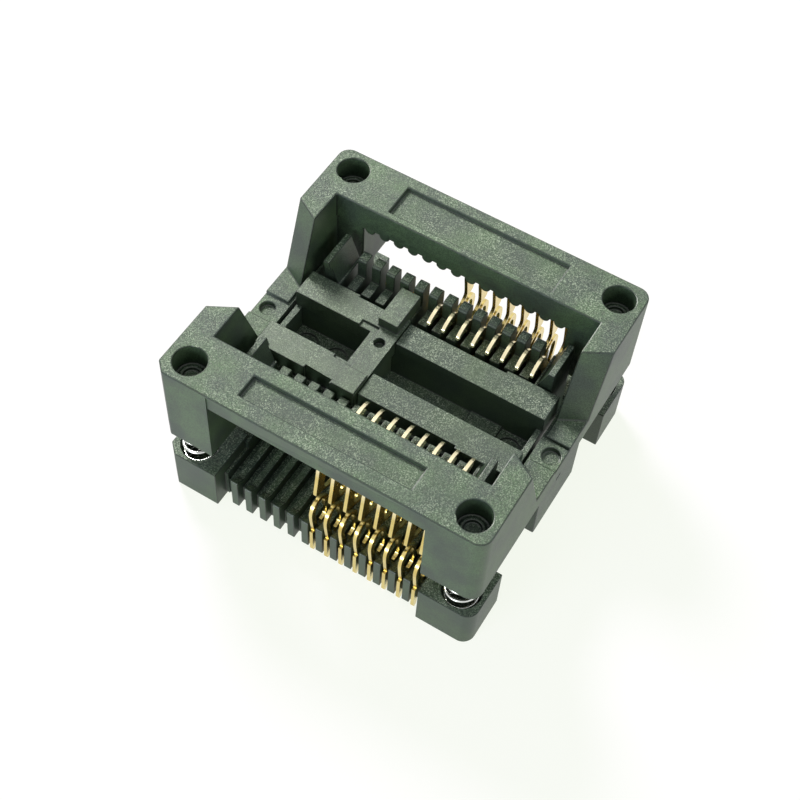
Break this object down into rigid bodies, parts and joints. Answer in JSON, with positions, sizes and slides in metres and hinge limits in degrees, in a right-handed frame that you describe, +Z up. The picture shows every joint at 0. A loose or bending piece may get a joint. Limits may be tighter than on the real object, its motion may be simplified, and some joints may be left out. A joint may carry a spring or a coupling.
{
  "type": "zif test socket",
  "caption": "Open-top spring-loaded test socket: pressing the cover frame swings two rows of gold contacts apart so a package drops in.",
  "frame": {"origin": "centre of the plan, on the bottom of the feet", "axes": "+X along the contact rows towards the loaded end, +Y to the back row, +Z up"},
  "size_m": [0.0268, 0.0252, 0.015],
  "materials": {
    "base_plastic": "glass-filled, fine spark texture",
    "positioner_plastic": "satin, slightly smoother than the base",
    "cover_plastic": "glass-filled, fine spark texture on top",
    "spring_steel": "bright drawn wire",
    "contact_gold": "gold plated stamping",
    "head_gold": "gold plated stamping"
  },
  "bodies": {
    "base": {"base": "base_plastic", "positioner": "positioner_plastic", "spring_front_left": "spring_steel", "spring_front_right": "spring_steel", "spring_back_left": "spring_steel", "spring_back_right": "spring_steel", "contact_front_1": "contact_gold", "contact_front_2": "contact_gold", "contact_front_3": "contact_gold", "contact_front_4": "contact_gold", "contact_front_5": "contact_gold", "contact_front_6": "contact_gold", "contact_front_7": "contact_gold", "contact_front_8": "contact_gold", "contact_back_1": "contact_gold", "contact_back_2": "contact_gold", "contact_back_3": "contact_gold", "contact_back_4": "contact_gold", "contact_back_5": "contact_gold", "contact_back_6": "contact_gold", "contact_back_7": "contact_gold", "contact_back_8": "contact_gold"},
    "cover": {"cover": "cover_plastic"},
    "front_levers": {"lever_front_1": "head_gold", "lever_front_2": "head_gold", "lever_front_3": "head_gold", "lever_front_4": "head_gold", "lever_front_5": "head_gold", "lever_front_6": "head_gold", "lever_front_7": "head_gold", "lever_front_8": "head_gold"},
    "back_levers": {"lever_back_1": "head_gold", "lever_back_2": "head_gold", "lever_back_3": "head_gold", "lever_back_4": "head_gold", "lever_back_5": "head_gold", "lever_back_6": "head_gold", "lever_back_7": "head_gold", "lever_back_8": "head_gold"}
  },
  "joints": [
    {"name": "cover_press", "type": "slide", "parent": "base", "child": "cover", "axis": [0, 0, -1], "range_m": [0, 0.0024], "stiffness_N_per_m": 3000, "springref_m": -0.0015, "deforming": ["spring_front_left", "spring_front_right", "spring_back_left", "spring_back_right"]},
    {"name": "front_lever_swing", "type": "hinge", "parent": "base", "child": "front_levers", "pos_m": [0.00381, -0.0074, 0.0039], "axis": [1, 0, 0], "range_deg": [0, 8.6]},
    {"name": "back_lever_swing", "type": "hinge", "parent": "base", "child": "back_levers", "pos_m": [0.00381, 0.0074, 0.0039], "axis": [-1, 0, 0], "range_deg": [0, 8.6]}
  ],
  "couplings": [
    {"joint": "front_lever_swing", "follows": "cover_press", "rad_per_m": 62.5},
    {"joint": "back_lever_swing", "follows": "cover_press", "rad_per_m": 62.5}
  ]
}
